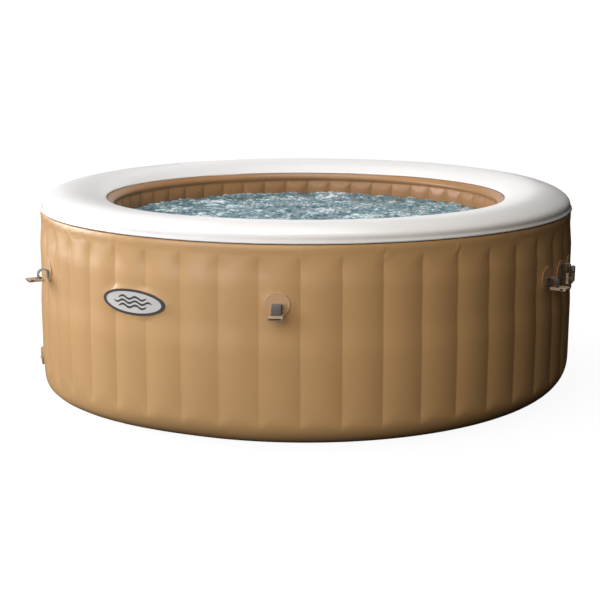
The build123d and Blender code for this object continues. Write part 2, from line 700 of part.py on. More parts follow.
with BuildPart() as inflation_spring:
    spring_foot = cup_floor + VALVE_FLOOR_T + 0.7
    spring_height = STEM_TOP - 2 - 0.7 - spring_foot
    spring_plane = VALVE_PLANE.offset(spring_foot)
    coil = Helix(
        pitch=spring_height / 4,
        height=spring_height,
        radius=STEM_R + 1.6,
        center=spring_plane.origin,
        direction=spring_plane.z_dir,
    )
    with BuildSketch(Plane(origin=coil @ 0, z_dir=coil % 0)):
        Circle(0.5)
    sweep(path=coil)
write(inflation_spring, "inflation_spring")

with BuildPart() as inflation_cap:
    disc(VALVE_PLANE, VALVE_CAP_R, cap_under, cap_under + VALVE_CAP_T)
    disc(VALVE_PLANE, VALVE_BORE_R - 1.5, VALVE_FLANGE_T - 3, cap_under)
    with BuildSketch(VALVE_PLANE.offset(cap_under)):
        with Locations((0, (VALVE_CAP_R + VALVE_HINGE_UP) / 2 - 1)):
            Rectangle(5, VALVE_HINGE_UP - VALVE_CAP_R + 2)
    extrude(amount=VALVE_CAP_T)
    with BuildSketch(cap_hinge):
        Circle(VALVE_PIN_R + 1.5)
    extrude(amount=2.5, both=True)
    with BuildSketch(cap_hinge):
        Circle(VALVE_PIN_R + FIT_GAP)
    extrude(amount=6, both=True, mode=Mode.SUBTRACT)
write(inflation_cap, "inflation_cap")

# --------------------------------------------------------------- drain valve
with BuildPart() as wall_body:
    with BuildSketch(Plane.XZ):
        with BuildLine():
            corner_x = WALL_R - BASE_CORNER_R
            Line((0, 0), (corner_x, 0))
            CenterArc((corner_x, BASE_CORNER_R), BASE_CORNER_R, -90, 90)
            Polyline((WALL_R, BASE_CORNER_R), (WALL_R, WALL_TOP_Z), (0, WALL_TOP_Z), (0, 0))
        make_face()
    revolve(axis=Axis.Z)

with BuildPart() as drain_valve:
    disc(DRAIN_PLANE, DRAIN_FLANGE_R, -12, DRAIN_FLANGE_T)
    add(wall_body.part, mode=Mode.SUBTRACT)
    disc(DRAIN_PLANE, DRAIN_NOZZLE_R, -DRAIN_SLEEVE_L, DRAIN_NOZZLE_L)
    disc(DRAIN_PLANE, DRAIN_DUCT_R + FIT_GAP, -DRAIN_SLEEVE_L, 0, Mode.SUBTRACT)
    disc(DRAIN_PLANE, DRAIN_BORE_R, -DRAIN_SLEEVE_L, DRAIN_NOZZLE_L, Mode.SUBTRACT)
write(drain_valve, "drain_valve")

with BuildPart() as drain_duct:
    disc(DRAIN_PLANE, DRAIN_DUCT_R, -DRAIN_REACH - 4, 0)
    disc(DRAIN_PLANE, DRAIN_BORE_R, -DRAIN_REACH - 4, 0, Mode.SUBTRACT)
write(drain_duct, "drain_duct")

with BuildPart() as drain_inner_flange:
    disc(DRAIN_PLANE, 2 * DRAIN_DUCT_R, -DRAIN_REACH - 4, -DRAIN_REACH + 6)
    keep_inside(INNER_R)
    disc(DRAIN_PLANE, DRAIN_DUCT_R + FIT_GAP, -DRAIN_REACH - 5, 0, Mode.SUBTRACT)
write(drain_inner_flange, "drain_inner_flange")

with BuildPart() as drain_cap:
    disc(DRAIN_PLANE, DRAIN_CAP_R, DRAIN_FLANGE_T + 0.4, DRAIN_CAP_FACE)
    bore_end = DRAIN_NOZZLE_L + 0.6
    disc(DRAIN_PLANE, DRAIN_NOZZLE_R + FIT_GAP, DRAIN_FLANGE_T, bore_end, Mode.SUBTRACT)
    with BuildSketch(DRAIN_PLANE.offset(DRAIN_FLANGE_T)):
        with PolarLocations(DRAIN_CAP_R + 1.5, DRAIN_GRIPS):
            Circle(3.5)
    extrude(amount=DRAIN_CAP_FACE, mode=Mode.SUBTRACT)
    disc(DRAIN_PLANE, DRAIN_CAP_R - 9, DRAIN_CAP_FACE - 1.2, DRAIN_CAP_FACE, Mode.SUBTRACT)
    with BuildSketch(DRAIN_PLANE.offset(DRAIN_CAP_FACE - 1.2)):
        Rectangle(2 * (DRAIN_CAP_R - 8), 6)
    extrude(amount=4)
write(drain_cap, "drain_cap")

with BuildPart() as drain_seal:
    disc(DRAIN_PLANE, DRAIN_NOZZLE_R - 0.2, DRAIN_NOZZLE_L + 0.1, DRAIN_NOZZLE_L + 0.6)
    disc(DRAIN_PLANE, DRAIN_BORE_R, DRAIN_NOZZLE_L, DRAIN_NOZZLE_L + 1, Mode.SUBTRACT)
write(drain_seal, "drain_seal")

with BuildPart() as drain_plug:
    plug_head = -DRAIN_REACH - 4.3
    disc(DRAIN_PLANE, DRAIN_BORE_R - FIT_GAP, plug_head, plug_head + DRAIN_PLUG_L)
    disc(DRAIN_PLANE, DRAIN_DUCT_R - 1, plug_head - 3, plug_head)
write(drain_plug, "drain_plug")
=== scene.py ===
import math

import bmesh
import bpy
import numpy as np
from mathutils import Matrix, Vector, noise


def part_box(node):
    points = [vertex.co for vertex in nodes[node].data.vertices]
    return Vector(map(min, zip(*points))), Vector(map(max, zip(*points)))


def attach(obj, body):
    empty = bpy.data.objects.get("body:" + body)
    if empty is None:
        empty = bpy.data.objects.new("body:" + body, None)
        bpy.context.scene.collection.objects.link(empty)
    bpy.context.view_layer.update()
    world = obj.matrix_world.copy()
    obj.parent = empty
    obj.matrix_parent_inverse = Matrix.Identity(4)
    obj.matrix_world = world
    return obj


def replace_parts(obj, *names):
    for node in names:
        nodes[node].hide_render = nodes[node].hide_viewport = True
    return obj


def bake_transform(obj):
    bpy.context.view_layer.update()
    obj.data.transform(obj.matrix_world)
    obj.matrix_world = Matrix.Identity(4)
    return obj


# Looks of an inflatable hot tub, in metres. Azimuth 0 faces -Y and grows towards +X.
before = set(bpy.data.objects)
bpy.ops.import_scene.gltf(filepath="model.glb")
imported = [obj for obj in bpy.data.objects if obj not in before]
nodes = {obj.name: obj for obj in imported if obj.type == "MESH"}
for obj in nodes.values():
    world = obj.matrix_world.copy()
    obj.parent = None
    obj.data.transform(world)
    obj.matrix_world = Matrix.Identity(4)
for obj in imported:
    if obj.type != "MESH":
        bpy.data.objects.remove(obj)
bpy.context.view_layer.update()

# ---------------------------------------------------------------- sizes, from the frame
WALL_R = round(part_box("top_ring")[1].x, 3)
RIM_SEAM_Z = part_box("outer_wall")[1].z
RIM_TOP_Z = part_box("top_ring")[1].z
INNER_SEAM_R = round(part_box("inner_wall")[1].x, 3)
PATCH_Z = sum(corner.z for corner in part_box("buckle_patches")) / 2
PORT_Z = sum(corner.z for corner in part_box("inlet_gasket")) / 2
PORT_X = sum(corner.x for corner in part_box("outlet_gasket")) / 2
AIR_Z = sum(corner.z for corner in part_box("air_port")) / 2

SKIN = 0.0015
CORNER_R = 0.089
CORNER_X = WALL_R - CORNER_R
WALL_TOP_Z = 0.600
RIM_SEAM_R = 0.968
RIM_CREST_R = 0.868
RIM_SIDE_Z = 0.6537
RIM_FOOT = (0.9675, 0.6405)
RIM_INNER = (0.7185, 0.6702)
INNER_TOP = (0.7175, 0.6685)
RIM_DRAW_IN = 0.009  # the filled tub draws its rim in by this much
SEAM_SPREAD = 0.016  # the opening is this much wider to the left and right
INNER_R = 0.712
BAND_R = 0.704
BAND_MID_Z = 0.642
BAND_FOOT_Z = 0.637
INNER_FOOT_Z = 0.0025

CHANNELS = 48
PITCH = 360 / CHANNELS
WELD_HEAD_Z = 0.603
WELD_FOOT_Z = 0.066
WELD_DEPTH = 0.0068
INNER_BULGE = 0.009
WATER_Z = 0.585
WATER_DEPTH = 0.045

BADGE_AZIMUTH = -29.0
BADGE_Z = 0.4315
BADGE_HALF = (0.1265, 0.041)
DRAIN_AZIMUTH = -77.3
DRAIN_TILT = 4.0
DRAIN_CENTRE = (0.97778, 0.0828)  # radius and height of the valve on the wall
VALVE_AZIMUTH = 172.5
VALVE_Z = 0.330

PATCH_R = 0.040
PATCH_T = 0.0025
STRAP_W = 0.030
STRAP_T = 0.0018
STRAP_FACE_U = 0.0035
STRAP_FOOT = 0.028
ROOT_BEND_R = 0.012
EYE_R = 0.00348

# azimuth, hinge, bar and bend radius of each buckle's webbing, as (out, up) from its patch
RESTING_OUT = {"hinge": (0.018, 0.005), "bar": (0.034, -0.029), "bend": 0.018}
HANGING = {"hinge": (0.018, 0.032), "bar": (0.030, -0.012), "bend": 0.012}
TURNED_UP = {"hinge": (STRAP_FACE_U, -0.008), "bar": (0.018, -0.043), "bend": 0.0}
BUCKLE_SETS = [(azimuth, RESTING_OUT) for azimuth in (-60, -0.3, 60, 120, 180, -120)]
BUCKLE_SETS += [(67.5, HANGING), (75.0, TURNED_UP)]


# ---------------------------------------------------------------- small helpers
def outward(azimuth):
    return Vector((math.sin(math.radians(azimuth)), -math.cos(math.radians(azimuth)), 0))


def along(azimuth):
    return Vector((math.cos(math.radians(azimuth)), math.sin(math.radians(azimuth)), 0))


def smooth(t):
    t = np.clip(t, 0, 1)
    return t * t * (3 - 2 * t)


def arc_rows(centre, radius, start, end, count):
    """Points of an arc in a radius-height section, with outward normals, as (r, z, nr, nz)."""
    t = np.radians(np.linspace(start, end, count))
    cos_t, sin_t = np.cos(t), np.sin(t)
    return np.stack([centre[0] + radius * cos_t, centre[1] + radius * sin_t, cos_t, sin_t], 1)


def piece(name, verts, faces, material, body="tub", smooth_shade=True):
    mesh = bpy.data.meshes.new(name)
    mesh.from_pydata([tuple(v) for v in verts], [], faces)
    mesh.validate()
    if smooth_shade:
        mesh.shade_smooth()
    obj = bpy.data.objects.new(name, mesh)
    bpy.context.scene.collection.objects.link(obj)
    if material:
        mesh.materials.append(material)
    if body:
        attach(obj, body)
    return obj


def grid_faces(rows, columns, closed=True):
    """Quads of a rows by columns grid; the columns join up into a ring if closed."""
    index = np.arange(rows * columns).reshape(rows, columns)
    beside = np.roll(index, -1, axis=1)
    if not closed:
        index, beside = index[:, :-1], beside[:, :-1]
    quads = np.stack([index[:-1], beside[:-1], beside[1:], index[1:]], -1)
    return quads.reshape(-1, 4).tolist()


def ring_verts(radius, height, azimuths):
    """Vertices of a skin round the axis; radius and height are rows by columns."""
    a = np.radians(azimuths)[None, :]
    return np.stack([radius * np.sin(a), -radius * np.cos(a), height + 0 * a], -1).reshape(-1, 3)


def apply_modifiers(obj):
    """Replace the mesh with what its modifiers make of it."""
    graph = bpy.context.evaluated_depsgraph_get()
    made = bpy.data.meshes.new_from_object(obj.evaluated_get(graph))
    obj.modifiers.clear()
    obj.data = made


def thicken(obj, thickness=SKIN, offset=-1.0):
    skin = obj.modifiers.new("skin", "SOLIDIFY")
    skin.thickness = thickness
    skin.offset = offset
    skin.use_even_offset = False
    apply_modifiers(obj)


def channel_columns(fractions):
    """Azimuths of the columns: closer together near each weld, welds on column lines."""
    near = [f * PITCH / 2 for f in fractions]
    offsets = near + [PITCH / 2] + [PITCH - f for f in reversed(near[1:])]
    return np.array([PITCH / 2 + PITCH * k + f for k in range(CHANNELS) for f in offsets])


def weld_pull(azimuths, reach):
    """1 on a weld, falling to 0 at the arc distance reach from it (an array, in pitches)."""
    phase = np.abs((azimuths - PITCH / 2 + PITCH / 2) % PITCH - PITCH / 2) / (PITCH / 2)
    return np.clip(1 - phase[None, :] / reach, 0, 1) ** 2


def arc_gap(azimuths, azimuth):
    return (azimuths - azimuth + 180) % 360 - 180


def free_of(fittings, radius, azimuths, height):
    """0 under each welded fitting, where it holds the wall flat, and 1 away from it."""
    free = np.ones((height.shape[0], len(azimuths)))
    for azimuth, z, half_w, half_h, spread in fittings:
        s = np.radians(arc_gap(azimuths, azimuth))[None, :] * radius
        far = np.hypot(s / half_w, (height - z) / half_h)
        free = np.minimum(free, smooth((far - 1) / spread))
    return free


def unevenness(verts, scale, seed):
    """Smooth noise from -1 to 1 at each vertex."""
    shift = Vector((seed, seed * 0.7, -seed))
    return np.array([noise.noise(Vector(v) * scale + shift) for v in verts])


# ---------------------------------------------------------------- materials
def tree(name):
    material = bpy.data.materials.new(name)
    material.use_nodes = True
    links = material.node_tree
    return material, links, links.nodes["Principled BSDF"]


def add(links, kind, **inputs):
    node = links.nodes.new(kind)
    for key, value in inputs.items():
        node.inputs[key.replace("_", " ")].default_value = value
    return node


def noise_of(links, coords, scale, detail=4.0, roughness=0.55):
    node = add(links, "ShaderNodeTexNoise", Scale=scale, Detail=detail, Roughness=roughness)
    links.links.new(coords, node.inputs["Vector"])
    return node.outputs["Fac"]


def remap(links, value, low, high, to_low, to_high):
    node = links.nodes.new("ShaderNodeMapRange")
    links.links.new(value, node.inputs["Value"])
    for key, number in zip(("From Min", "From Max", "To Min", "To Max"), (low, high, to_low, to_high)):
        node.inputs[key].default_value = number
    return node.outputs["Result"]


def ramp(links, value, stops):
    node = links.nodes.new("ShaderNodeValToRGB")
    while len(node.color_ramp.elements) < len(stops):
        node.color_ramp.elements.new(0.5)
    for element, (position, colour) in zip(node.color_ramp.elements, stops):
        element.position = position
        element.color = (*colour, 1)
    links.links.new(value, node.inputs["Fac"])
    return node.outputs["Color"]


def bump(links, shader, value, strength, distance, after=None):
    node = add(links, "ShaderNodeBump", Strength=strength, Distance=distance)
    links.links.new(value, node.inputs["Height"])
    if after:
        links.links.new(after, node.inputs["Normal"])
    links.links.new(node.outputs["Normal"], shader.inputs["Normal"])
    return node.outputs["Normal"]


def shade(colour, factor):
    return tuple(min(1.0, c * factor) for c in colour)


def surface(name, colour, roughness, spread=0.05, grain=(900, 0.12), patches=(6, 0.06), **fixed):
    """A sheet or moulding: its colour drifts a little, and its gloss and grain vary."""
    material, links, shader = tree(name)
    coords = links.nodes.new("ShaderNodeTexCoord").outputs["Object"]
    drift = noise_of(links, coords, patches[0])
    tone = ramp(
        links, drift, [(0.3, shade(colour, 1 - patches[1])), (0.7, shade(colour, 1 + patches[1]))]
    )
    links.links.new(tone, shader.inputs["Base Color"])
    gloss = noise_of(links, coords, patches[0] * 7, detail=6)
    rough = remap(links, gloss, 0.3, 0.7, roughness - spread, roughness + spread)
    links.links.new(rough, shader.inputs["Roughness"])
    fine = noise_of(links, coords, grain[0], detail=2)
    bump(links, shader, fine, grain[1], 0.0004)
    for key, value in fixed.items():
        shader.inputs[key.replace("_", " ")].default_value = value
    return material


TAN = (0.64, 0.38, 0.168)
tan_pvc = surface("tan_pvc", TAN, 0.36, spread=0.05, patches=(5, 0.03), Specular_IOR_Level=0.5)
# the outer wall's tan PVC made darker: painted shade on the inner wall and bubble channel inside the tub
tan_inner_painted_shade = surface("tan_inner_painted_shade", (0.37, 0.190, 0.080), 0.40, patches=(5, 0.06))
white_pvc = surface("white_pvc", (0.845, 0.825, 0.815), 0.33, patches=(4, 0.012), grain=(700, 0.08))
grey_pvc = surface("grey_pvc", (0.12, 0.12, 0.125), 0.55, grain=(500, 0.3))
clear_web = surface("clear_web", (0.55, 0.52, 0.45), 0.4)
patch_pvc = surface("patch_pvc", (0.62, 0.38, 0.21), 0.42, grain=(1300, 0.2))
badge_dark = surface("badge_dark", (0.075, 0.072, 0.07), 0.36, grain=(1500, 0.1))
badge_light = surface("badge_light", (0.66, 0.64, 0.62), 0.33, grain=(1500, 0.06))
buckle_plastic = surface("buckle_plastic", (0.50, 0.38, 0.27), 0.34, grain=(2600, 0.12))
port_plastic = surface("port_plastic", (0.20, 0.21, 0.22), 0.38, grain=(1800, 0.15))
valve_plastic = surface("valve_plastic", (0.47, 0.33, 0.20), 0.36, grain=(1800, 0.12))
black_rubber = surface("black_rubber", (0.018, 0.018, 0.019), 0.6, grain=(1400, 0.3))
hose_plastic = surface("hose_plastic", (0.55, 0.58, 0.60), 0.25)
spring_steel = surface("spring_steel", (0.62, 0.61, 0.60), 0.25, Metallic=1.0)


def webbing_material():
    """Woven webbing: ribs along its length and fine weft across, from the strip's own UV in metres."""
    material, links, shader = tree("webbing_weave")
    uv = links.nodes.new("ShaderNodeUVMap")
    uv.uv_map = "metres"
    warp = add(links, "ShaderNodeTexWave", Scale=1 / 0.0034, Distortion=0.4, Detail=1.0)
    weft = add(links, "ShaderNodeTexWave", Scale=1 / 0.0024, Distortion=0.6, Detail=1.0)
    warp.bands_direction = "X"
    weft.bands_direction = "Y"
    for wave in (warp, weft):
        wave.inputs["Scale"].default_value *= 0.3183
        links.links.new(uv.outputs["UV"], wave.inputs["Vector"])
    both = add(links, "ShaderNodeMath")
    both.operation = "MULTIPLY"
    links.links.new(warp.outputs["Fac"], both.inputs[0])
    links.links.new(weft.outputs["Fac"], both.inputs[1])
    fluff = noise_of(links, uv.outputs["UV"], 900)
    mixed = add(links, "ShaderNodeMath")
    mixed.operation = "ADD"
    links.links.new(both.outputs["Value"], mixed.inputs[0])
    links.links.new(fluff, mixed.inputs[1])
    tone = ramp(
        links, mixed.outputs["Value"], [(0.35, (0.055, 0.047, 0.040)), (1.0, (0.20, 0.175, 0.15))]
    )
    links.links.new(tone, shader.inputs["Base Color"])
    shader.inputs["Roughness"].default_value = 0.8
    shader.inputs["Sheen Weight"].default_value = 0.3
    bump(links, shader, mixed.outputs["Value"], 0.8, 0.0006)
    return material


def water_material():
    """Churned water: teal in the troughs, paler on the crests, with flecks of foam."""
    material, links, shader = tree("churned_water")
    coords = links.nodes.new("ShaderNodeTexCoord").outputs["Object"]
    split = links.nodes.new("ShaderNodeSeparateXYZ")
    links.links.new(coords, split.inputs["Vector"])
    crest = remap(links, split.outputs["Z"], WATER_Z - 0.010, WATER_Z + 0.010, 0.0, 1.0)
    mottle = noise_of(links, coords, 60, detail=5, roughness=0.7)
    height = add(links, "ShaderNodeMath")
    height.operation = "MULTIPLY_ADD"
    height.inputs[1].default_value = 0.55
    links.links.new(crest, height.inputs[0])
    links.links.new(mottle, height.inputs[2])
    tone = ramp(
        links,
        height.outputs["Value"],
        [
            (0.48, (0.020, 0.054, 0.070)),
            (0.68, (0.072, 0.150, 0.178)),
            (0.86, (0.20, 0.320, 0.355)),
            (0.97, (0.72, 0.80, 0.83)),
        ],
    )
    links.links.new(tone, shader.inputs["Base Color"])
    shader.inputs["Roughness"].default_value = 0.12
    shader.inputs["IOR"].default_value = 1.33
    ripple = noise_of(links, coords, 120, detail=4, roughness=0.6)
    bump(links, shader, ripple, 0.5, 0.004)
    return material


webbing_weave = webbing_material()
churned_water = water_material()

NODE_MATERIALS = {
    "base_sheet": grey_pvc,
    "bubble_channel": tan_inner_painted_shade,
    "badge_rim": badge_dark,
    "badge_face": badge_light,
    "air_port": port_plastic,
    "air_flap": black_rubber,
    "air_feed_tube": hose_plastic,
    "inflation_valve": valve_plastic,
    "inflation_stem": port_plastic,
    "inflation_seal": black_rubber,
    "inflation_spring": spring_steel,
    "inflation_cap": valve_plastic,
    "drain_valve": valve_plastic,
    "drain_duct": hose_plastic,
    "drain_inner_flange": valve_plastic,
    "drain_cap": valve_plastic,
    "drain_seal": black_rubber,
    "drain_plug": black_rubber,
}
for port in ("inlet", "outlet"):
    NODE_MATERIALS[f"{port}_stub"] = port_plastic
    NODE_MATERIALS[f"{port}_gasket"] = black_rubber
    NODE_MATERIALS[f"{port}_duct"] = hose_plastic
    NODE_MATERIALS[f"{port}_housing"] = port_plastic
    NODE_MATERIALS[f"{port}_strainer"] = port_plastic
for number in range(1, len(BUCKLE_SETS) + 1):
    NODE_MATERIALS[f"buckle_{number}"] = buckle_plastic
for node_name, node_material in NODE_MATERIALS.items():
    nodes[node_name].data.materials.clear()
    nodes[node_name].data.materials.append(node_material)

# ---------------------------------------------------------------- outer wall
OUTER_FITTINGS = [(azimuth, PATCH_Z, PATCH_R * 1.03, PATCH_R * 1.03, 0.25) for azimuth, _ in BUCKLE_SETS]
OUTER_FITTINGS += [
    (BADGE_AZIMUTH, BADGE_Z, BADGE_HALF[0] * 1.01, BADGE_HALF[1] * 1.02, 0.14),
    (VALVE_AZIMUTH, VALVE_Z + 0.003, 0.028, 0.032, 0.9),
    (180.0, AIR_Z, 0.038, 0.038, 0.8),
    (180.0 - math.degrees(math.asin(PORT_X / WALL_R)), PORT_Z, 0.042, 0.042, 0.7),
    (180.0 + math.degrees(math.asin(PORT_X / WALL_R)), PORT_Z, 0.042, 0.042, 0.7),
    (DRAIN_AZIMUTH, DRAIN_CENTRE[1], 0.032, 0.032, 0.8),
]


def outer_profile():
    """Rows from the edge of the base sheet up to the rim seam, as (r, z, nr, nz)."""
    lean_r = ((RIM_SEAM_Z - WALL_TOP_Z) ** 2 + (WALL_R - RIM_SEAM_R) ** 2) / (2 * (WALL_R - RIM_SEAM_R))
    lean_end = math.degrees(math.asin((RIM_SEAM_Z - WALL_TOP_Z) / lean_r))
    foot = np.array([[CORNER_X - 0.004, 0.0, 0.0, -1.0]])
    corner = arc_rows((CORNER_X, CORNER_R), CORNER_R, -90, 0, 16)
    heights = np.concatenate(
        [
            np.linspace(0.096, 0.15, 7),
            np.linspace(0.163, 0.37, 16),
            np.linspace(0.381, 0.53, 15),
            np.linspace(0.536, WALL_TOP_Z, 11),
        ]
    )
    upright = np.stack([0 * heights + WALL_R, heights, 0 * heights + 1, 0 * heights], 1)
    lean = arc_rows((WALL_R - lean_r, WALL_TOP_Z), lean_r, 0, lean_end, 10)[1:]
    return np.concatenate([foot, corner, upright, lean])


def weld_strength(height, foot, foot_fade):
    """How deep a weld pulls the skin, from 0 at its ends to 1, and how far the pull reaches."""
    head = np.clip((WELD_HEAD_Z - height) / 0.055, 0, 1)
    tail = np.clip((height - foot) / foot_fade, 0, 1)
    depth = (1 - (1 - head) ** 2) * (1 - (1 - tail) ** 2)
    return depth, 0.16 + 0.84 * np.minimum(head, tail) ** 0.6


def rim_wrinkles(azimuths, height):
    """Slanting gathers in the wall just under the rim seam, in loose groups."""
    s = np.radians(azimuths)[None, :] * WALL_R
    groups = np.array([noise.noise(Vector((a / 11.0, 0.3, 5.1))) for a in azimuths])[None, :]
    slant = np.array([noise.noise(Vector((a / 9.0, 7.7, 1.9))) for a in azimuths])[None, :]
    window = smooth((height - 0.578) / 0.024) * smooth((RIM_SEAM_Z + 0.002 - height) / 0.012)
    phase = 2 * math.pi * (s + 2.4 * slant * (height - 0.6)) / 0.034 + 9 * slant
    return 0.0013 * window * smooth(groups * 2.2 + 0.25) * np.sin(phase)


def make_outer_wall():
    rows = outer_profile()
    azimuths = channel_columns([0, 0.04, 0.12, 0.26, 0.46, 0.72])
    r0, z0, nr, nz = (rows[:, k : k + 1] for k in range(4))
    depth, reach = weld_strength(z0, WELD_FOOT_Z, 0.05)
    free = free_of(OUTER_FITTINGS, WALL_R, azimuths, z0)
    pull = -WELD_DEPTH * depth * weld_pull(azimuths, reach) * free
    flat = ring_verts(r0 + 0 * pull, z0 + 0 * pull, azimuths)
    dents = unevenness(flat, 4.0, 3.0).reshape(pull.shape) - 0.8
    lift = smooth((z0 - 0.01) / 0.08) * smooth((RIM_SEAM_Z - z0) / 0.02)
    power = 2 + 5.0 * smooth((5 - np.abs(arc_gap(azimuths, -95))) / 75 + 1)[None, :]
    corner = (np.abs(nr) ** power + np.abs(nz) ** power) ** (-1 / power) - 1
    corner = np.where((nz < 0) & (r0 > CORNER_X), corner * CORNER_R, 0) * free
    moved = pull + (0.0011 * dents * lift + rim_wrinkles(azimuths, z0)) * free
    belly = 0.005 * smooth((z0 - 0.02) / 0.10) * smooth((0.40 - z0) / 0.10) * free
    lean = -0.0068 * smooth((z0 - 0.505) / 0.10) * smooth((RIM_SEAM_Z - z0) / 0.036)
    moved = np.minimum(moved, 0) + corner + belly + lean
    verts = ring_verts(r0 + moved * nr, z0 + moved * nz, azimuths)
    wall = piece("outer_wall_skin", verts, grid_faces(len(rows), len(azimuths)), tan_pvc, body=None)
    thicken(wall)
    return wall


# ---------------------------------------------------------------- rim
def opening_spread(azimuths):
    return SEAM_SPREAD * np.abs(np.sin(np.radians(azimuths)))[None, :] ** 1.5


def rim_profile():
    rise = RIM_TOP_Z - RIM_SIDE_Z
    reach = WALL_R - RIM_CREST_R
    t = np.radians(np.linspace(-12, 90, 26))
    side = np.stack(
        [RIM_CREST_R + reach * np.cos(t), RIM_SIDE_Z + rise * np.sin(t),
         np.cos(t) * rise, np.sin(t) * reach], 1
    )
    side[:, 2:] /= np.linalg.norm(side[:, 2:], axis=1)[:, None]
    run, drop = RIM_CREST_R - RIM_INNER[0], RIM_TOP_Z - RIM_INNER[1]
    dome_r = (run**2 + drop**2) / (2 * drop)
    end = 90 + math.degrees(math.asin(run / dome_r))
    dome = arc_rows((RIM_CREST_R, RIM_TOP_Z - dome_r), dome_r, 90, end, 16)[1:]
    foot = np.array([[*RIM_FOOT, 0.6, -0.8]])
    return np.concatenate([foot, side, dome])


def make_rim():
    rows = rim_profile()
    azimuths = channel_columns([0, 0.2, 0.4, 0.6, 0.8])
    r0, z0, nr, nz = (rows[:, k : k + 1] for k in range(4))
    shape = (len(rows), len(azimuths))
    flat = ring_verts(r0 + np.zeros(shape), z0 + np.zeros(shape), azimuths)
    swell = unevenness(flat, 2.6, 11.0).reshape(shape) - 0.7
    gathers = unevenness(flat, 26.0, 23.0).reshape(shape) - 0.5
    near_seam = np.zeros((len(rows), 1))
    near_seam[:14, 0] = np.linspace(1, 0, 14)
    ends = np.ones((len(rows), 1))
    ends[0] = ends[-1] = 0
    moved = (0.0016 * swell + 0.0009 * gathers * near_seam) * ends
    moved = np.minimum(moved, 0)
    above_foot = smooth((z0 - RIM_FOOT[1]) / 0.013)
    outer_share = np.clip((r0 - RIM_CREST_R) / (WALL_R - RIM_CREST_R), 0, 1)
    inner_share = np.clip((RIM_CREST_R - r0) / (RIM_CREST_R - RIM_INNER[0]), 0, 1)
    drawn = opening_spread(azimuths) * inner_share**2 - RIM_DRAW_IN * outer_share * above_foot
    tip = (-0.004 - 0.010 * np.cos(np.radians(azimuths)))[None, :]
    tip = tip * smooth((z0 - 0.655) / 0.05) * smooth((r0 - RIM_INNER[0]) / 0.06)
    verts = ring_verts(r0 + drawn + moved * nr, z0 + tip + moved * nz, azimuths)
    rim = piece("rim_skin", verts, grid_faces(*shape), white_pvc)
    thicken(rim)
    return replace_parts(rim, "top_ring")


# ---------------------------------------------------------------- inner wall
INNER_FITTINGS = [
    (180.0 - math.degrees(math.asin(PORT_X / INNER_R)), PORT_Z, 0.050, 0.050, 0.8),
    (180.0 + math.degrees(math.asin(PORT_X / INNER_R)), PORT_Z, 0.050, 0.050, 0.8),
    (DRAIN_AZIMUTH, 0.101, 0.030, 0.030, 0.9),
]


def inner_base_radius(z):
    """Radius of the water side between the welds, below the band."""
    head = np.clip((BAND_FOOT_Z - z) / 0.035, 0, 1)
    tail = np.clip((z - 0.052) / 0.05, 0, 1)
    return INNER_R - INNER_BULGE * (1 - (1 - head) ** 2) * (1 - (1 - tail) ** 2)


def inner_radius(azimuths, z, free=1.0):
    """Radius of the water side of the inner wall below its band."""
    _, reach = weld_strength(z - BAND_FOOT_Z + WELD_HEAD_Z, 0.040, 0.05)
    belly = inner_base_radius(z)
    return INNER_R - (INNER_R - belly) * (1 - weld_pull(azimuths, reach)) * free


def make_inner_wall():
    azimuths = channel_columns([0, 0.05, 0.15, 0.32, 0.55, 0.8])
    half_chord = math.hypot(INNER_TOP[0] - INNER_R, INNER_TOP[1] - BAND_FOOT_Z) / 2
    t = np.linspace(0, 1, 13)[:-1]
    band_line = INNER_TOP[0] + (INNER_R - INNER_TOP[0]) * t
    sag = (half_chord and 4 * t * (1 - t)) * ((INNER_TOP[0] + INNER_R) / 2 - BAND_R)
    band_r, band_z = band_line - sag, INNER_TOP[1] + (BAND_FOOT_Z - INNER_TOP[1]) * t
    z = np.concatenate([np.linspace(BAND_FOOT_Z, 0.575, 12), np.linspace(0.56, 0.17, 27)])
    z = np.concatenate([z, np.linspace(0.158, INNER_FOOT_Z, 15)])[:, None]
    free = free_of(INNER_FITTINGS, INNER_R, azimuths, z)
    lower_r = inner_radius(azimuths, z, free)
    wide = np.ones((1, len(azimuths)))
    spread = opening_spread(azimuths) * (1 - t[:, None]) ** 1.5
    radius = np.concatenate([band_r[:, None] * wide + spread, lower_r])
    height = np.concatenate([band_z[:, None] * wide, z * wide])
    flat = ring_verts(radius, height, azimuths)
    dents = (unevenness(flat, 5.0, 31.0).reshape(radius.shape) + 0.8) * 0.0008
    dents[0] = 0
    dents[-1] = 0
    keep = np.concatenate([np.ones((len(band_z), len(azimuths))), free * smooth((z - 0.055) / 0.05)])
    verts = ring_verts(radius + dents * keep, height, azimuths)
    wall = piece("inner_wall_skin", verts, grid_faces(*radius.shape), tan_inner_painted_shade, body=None)
    thicken(wall, offset=-1.0)
    return wall


# ---------------------------------------------------------------- holes for the fittings
def cutter(name, origin, direction, radius, near, far):
    """Round bar along direction, from near to far beyond origin, as a boolean tool."""
    sides = 64
    turn = direction.to_track_quat("Z", "Y").to_matrix()
    verts = []
    for reach in (near, far):
        for k in range(sides):
            a = 2 * math.pi * k / sides
            verts.append(origin + turn @ Vector((radius * math.cos(a), radius * math.sin(a), reach)))
    faces = [[k, (k + 1) % sides, sides + (k + 1) % sides, sides + k] for k in range(sides)]
    faces += [list(reversed(range(sides))), list(range(sides, 2 * sides))]
    return piece(name, verts, faces, None, body=None)


def cut(obj, tools):
    for tool in tools:
        hole = obj.modifiers.new("hole", "BOOLEAN")
        hole.object = tool
        hole.operation = "DIFFERENCE"
        hole.solver = "MANIFOLD"
    apply_modifiers(obj)


